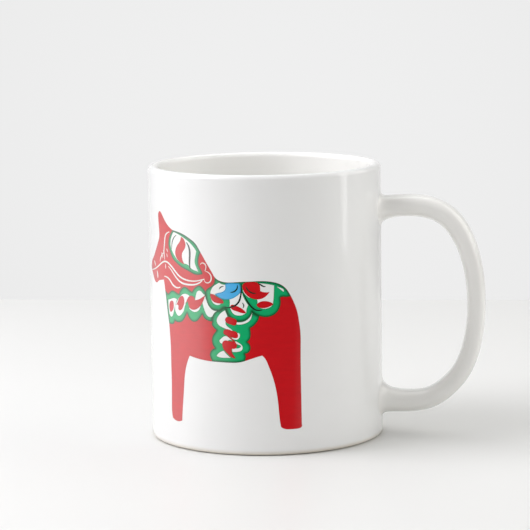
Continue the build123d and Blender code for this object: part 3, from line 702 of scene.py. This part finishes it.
def enamel(node, layer, colour, spacing, over=()):
    """One enamel layer as a thin closed sheet on the wall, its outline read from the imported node."""
    loops = [evenly(loop, spacing) for loop in outline_loops(node) if len(loop) > 2]
    everything = np.concatenate(loops)
    low, high = everything.min(axis=0), everything.max(axis=0)
    xs = np.arange(low[0] + spacing / 2, high[0], spacing)
    zs = np.arange(low[1] + spacing / 2, high[1], spacing * ROW_STEP)
    grid = np.array([(x + (spacing / 2 if j % 2 else 0), z) for j, z in enumerate(zs) for x in xs])
    if len(grid):
        grid = grid[inside(grid, loops)]
    if len(grid):
        grid = grid[distance_to(grid, loops) > spacing * ROOM]
    points = np.concatenate([everything, grid]) if len(grid) else everything
    # Triangles whose sides keep to the outlines, and only those inside
    sides, start = [], 0
    for loop in loops:
        n = len(loop)
        sides += [(start + k, start + (k + 1) % n) for k in range(n)]
        start += n
    flat, _, faces, _, _, _ = geometry.delaunay_2d_cdt([Vector(p) for p in points], sides, [], 0, 1e-5)
    flat = np.array([tuple(p) for p in flat])
    faces = np.array(faces)
    faces = faces[inside(flat[faces].mean(axis=1), loops)]
    used, faces = np.unique(faces, return_inverse=True)
    flat, faces = flat[used], faces.reshape(-1, 3)
    a, b, c = flat[faces[:, 0]], flat[faces[:, 1]], flat[faces[:, 2]]
    spin = (b - a)[:, 0] * (c - a)[:, 1] - (b - a)[:, 1] * (c - a)[:, 0]
    faces[spin < 0] = faces[spin < 0][:, ::-1]
    edge = distance_to(flat, loops)
    if over:
        covers = [loop for other in over for loop in outline_loops(other)]
        edge = np.minimum(edge, COVERED_START + COVERED_RISE * distance_to(flat, covers))
    n = len(flat)
    follow = set()
    for tri in faces.tolist():
        for pair in ((tri[0], tri[1]), (tri[1], tri[2]), (tri[2], tri[0])):
            if pair[::-1] in follow:
                follow.remove(pair[::-1])
            else:
                follow.add(pair)
    top_r = WALL_R + layer * LAYER
    verts = np.concatenate([wrap(flat, top_r), wrap(flat, top_r - LAYER * SHEET_SHARE)])
    radial = wrap(flat, 1.0) * (1, 1, 0)
    all_faces = [tuple(t) for t in faces.tolist()]
    all_faces += [(n + t[2], n + t[1], n + t[0]) for t in faces.tolist()]
    all_faces += [(j, i, n + i, n + j) for i, j in sorted(follow)]
    make_piece("enamel_" + node, verts, all_faces, enamels[colour], [node],
               normals=np.concatenate([radial, radial]), attribute=np.concatenate([edge, edge]))


enamel("horse_coat", 1, "red", 1.0)
enamel("mane_green", 2, "green", 0.4, ["mane_white"])
enamel("collar_green", 2, "green", 0.4, ["collar_white", "collar_red"])
enamel("saddle_green", 2, "green", 0.4, ["saddle_white", "saddle_red", "saddle_blue"])
enamel("girth_green", 2, "green", 0.4, ["girth_white", "girth_red"])
for part in ("rein", "headstall", "throat_strap", "mane_curls"):
    enamel(part, 2, "white", 0.5)
for part in ("mane_white", "collar_white", "saddle_white", "girth_white"):
    enamel(part, 3, "white", 0.5)
for part in ("mane_red", "collar_red", "saddle_red", "girth_red"):
    enamel(part, 4, "red", 0.5)
enamel("saddle_blue", 4, "blue", 0.4)
enamel("mane_dark_lines", 4, "dark", 0.3)
enamel("saddle_dark_lines", 5, "dark", 0.3)


# ---------------------------------------------------------------------- the studio around it


def stage_plane(name, corners, colour, rough):
    """A plain surface of the studio, very faintly clouded."""
    mesh = bpy.data.meshes.new(name)
    mesh.from_pydata(corners, [], [(0, 1, 2, 3)])
    mat, shader, add, join = new_material(name)
    coords = add("ShaderNodeTexCoord")
    cloud = grain(add, join, coords, 5.0, 3.0)
    tone = ramp(add, [(0.3, tuple(c * CLOUD_SHADE for c in colour)), (0.7, colour)])
    join(cloud, "Fac", tone, "Fac")
    join(tone, "Color", shader, "Base Color")
    shader.inputs["Roughness"].default_value = rough
    mesh.materials.append(mat)
    plane = bpy.data.objects.new(name, mesh)
    bpy.context.scene.collection.objects.link(plane)


AZIMUTH = math.radians(5.5)
to_camera = Vector((math.sin(AZIMUTH), -math.cos(AZIMUTH), 0.0))
image_right = Vector((math.cos(AZIMUTH), math.sin(AZIMUTH), 0.0))


def at(forward, right, up=0.0):
    """A place in the studio, from the cup towards the camera and to the image's right."""
    return to_camera * forward + image_right * right + Vector((0, 0, up))


# The table in metres: half its width, and its front and back edges
TABLE_HALF, TABLE_FRONT, TABLE_BACK = 1.5, -2.0, 0.29
table = [(-TABLE_HALF, TABLE_FRONT, 0), (TABLE_HALF, TABLE_FRONT, 0),
         (TABLE_HALF, TABLE_BACK, 0), (-TABLE_HALF, TABLE_BACK, 0)]
stage_plane("floor", table, (0.765, 0.765, 0.75), 0.45)


AIM_HEIGHT = 0.05


def softbox(name, turn, tilt, distance, size, power, colour=(1, 1, 1)):
    """A rectangular light round the cup: its turn is from the camera's side to the image's right."""
    a, e = math.radians(turn), math.radians(tilt)
    aim = Vector((0, 0, AIM_HEIGHT))
    towards = at(math.cos(a) * math.cos(e), math.sin(a) * math.cos(e), math.sin(e))
    lamp = bpy.data.lights.new(name, "AREA")
    lamp.shape = "RECTANGLE"
    lamp.size, lamp.size_y = size
    lamp.energy = power
    lamp.color = colour
    box = bpy.data.objects.new(name, lamp)
    box.location = aim + towards * distance
    box.rotation_euler = (-towards).to_track_quat("-Z", "Y").to_euler()
    bpy.context.scene.collection.objects.link(box)


# The window is on the left and bounced light on the right, with a narrow strip beside the camera
COOL = (0.97, 0.965, 1.0)
WARM = (1.0, 0.985, 0.95)
softbox("window_high", -90, 52, 0.90, (0.45, 0.45), 2.40, COOL)
softbox("window_high_near", -70, 52, 0.90, (0.45, 0.45), 0.65, COOL)
softbox("window", -80, 42, 0.80, (0.45, 0.40), 1.55, COOL)
softbox("window_near", -66, 35, 0.70, (0.35, 0.30), 0.40, COOL)
softbox("window_low", -84, 18, 0.60, (0.30, 0.30), 0.66, COOL)
softbox("side_right", 100, 30, 0.80, (0.70, 0.60), 1.85, WARM)
softbox("front_right", 45, 27, 0.80, (0.70, 0.60), 0.45, WARM)
softbox("behind_top", 170, 55, 1.00, (0.75, 0.60), 0.95)
softbox("behind_left", -140, 55, 1.00, (0.70, 0.70), 1.02)
softbox("strip_right", 79, 17, 0.27, (0.034, 0.20), 0.045)

# An even pale room, lighter towards a point low down behind the table
ROOM_LEVEL = 0.47
GLOW_LEVEL = 0.395
GLOW_POWER = 8.0
GLOW_DIP = math.radians(5)
world = bpy.data.worlds.new("room")
world.use_nodes = True
nodes, links = world.node_tree.nodes, world.node_tree.links
heading = nodes.new("ShaderNodeTexCoord")
facing_back = nodes.new("ShaderNodeVectorMath")
facing_back.operation = "DOT_PRODUCT"
facing_back.inputs[1].default_value = at(-math.cos(GLOW_DIP), 0, -math.sin(GLOW_DIP))
links.new(heading.outputs["Generated"], facing_back.inputs[0])
behind = nodes.new("ShaderNodeMath")
behind.operation = "MAXIMUM"
behind.inputs[1].default_value = 0.0
links.new(facing_back.outputs["Value"], behind.inputs[0])
narrow = nodes.new("ShaderNodeMath")
narrow.operation = "POWER"
narrow.inputs[1].default_value = GLOW_POWER
links.new(behind.outputs[0], narrow.inputs[0])
level = nodes.new("ShaderNodeMath")
level.operation = "MULTIPLY_ADD"
level.inputs[1].default_value = GLOW_LEVEL
level.inputs[2].default_value = ROOM_LEVEL
links.new(narrow.outputs[0], level.inputs[0])
links.new(level.outputs[0], nodes["Background"].inputs["Strength"])
nodes["Background"].inputs["Color"].default_value = (1, 1, 1, 1)
bpy.context.scene.world = world
bpy.context.scene.view_settings.view_transform = "Standard"

# The camera stands where the photograph was taken from
ELEVATION = math.radians(8.388)
ROLL = math.radians(0.825)
DISTANCE = 0.844338
SENSOR_MM = 36.0
LENS_MM = 162.136
CLIP_START = 0.01
back = to_camera * math.cos(ELEVATION) + Vector((0, 0, math.sin(ELEVATION)))
target = image_right * -0.000212 + Vector((0, 0, 0.059745))
camera_data = bpy.data.cameras.new("camera")
camera_data.sensor_width = SENSOR_MM
camera_data.lens = LENS_MM
camera_data.clip_start = CLIP_START
camera = bpy.data.objects.new("camera", camera_data)
up = back.cross(image_right)
turned = Matrix((image_right, up, back)).transposed().to_4x4()
camera.matrix_world = Matrix.Translation(target + back * DISTANCE) @ turned @ Matrix.Rotation(-ROLL, 4, "Z")
bpy.context.scene.collection.objects.link(camera)
bpy.context.scene.camera = camera
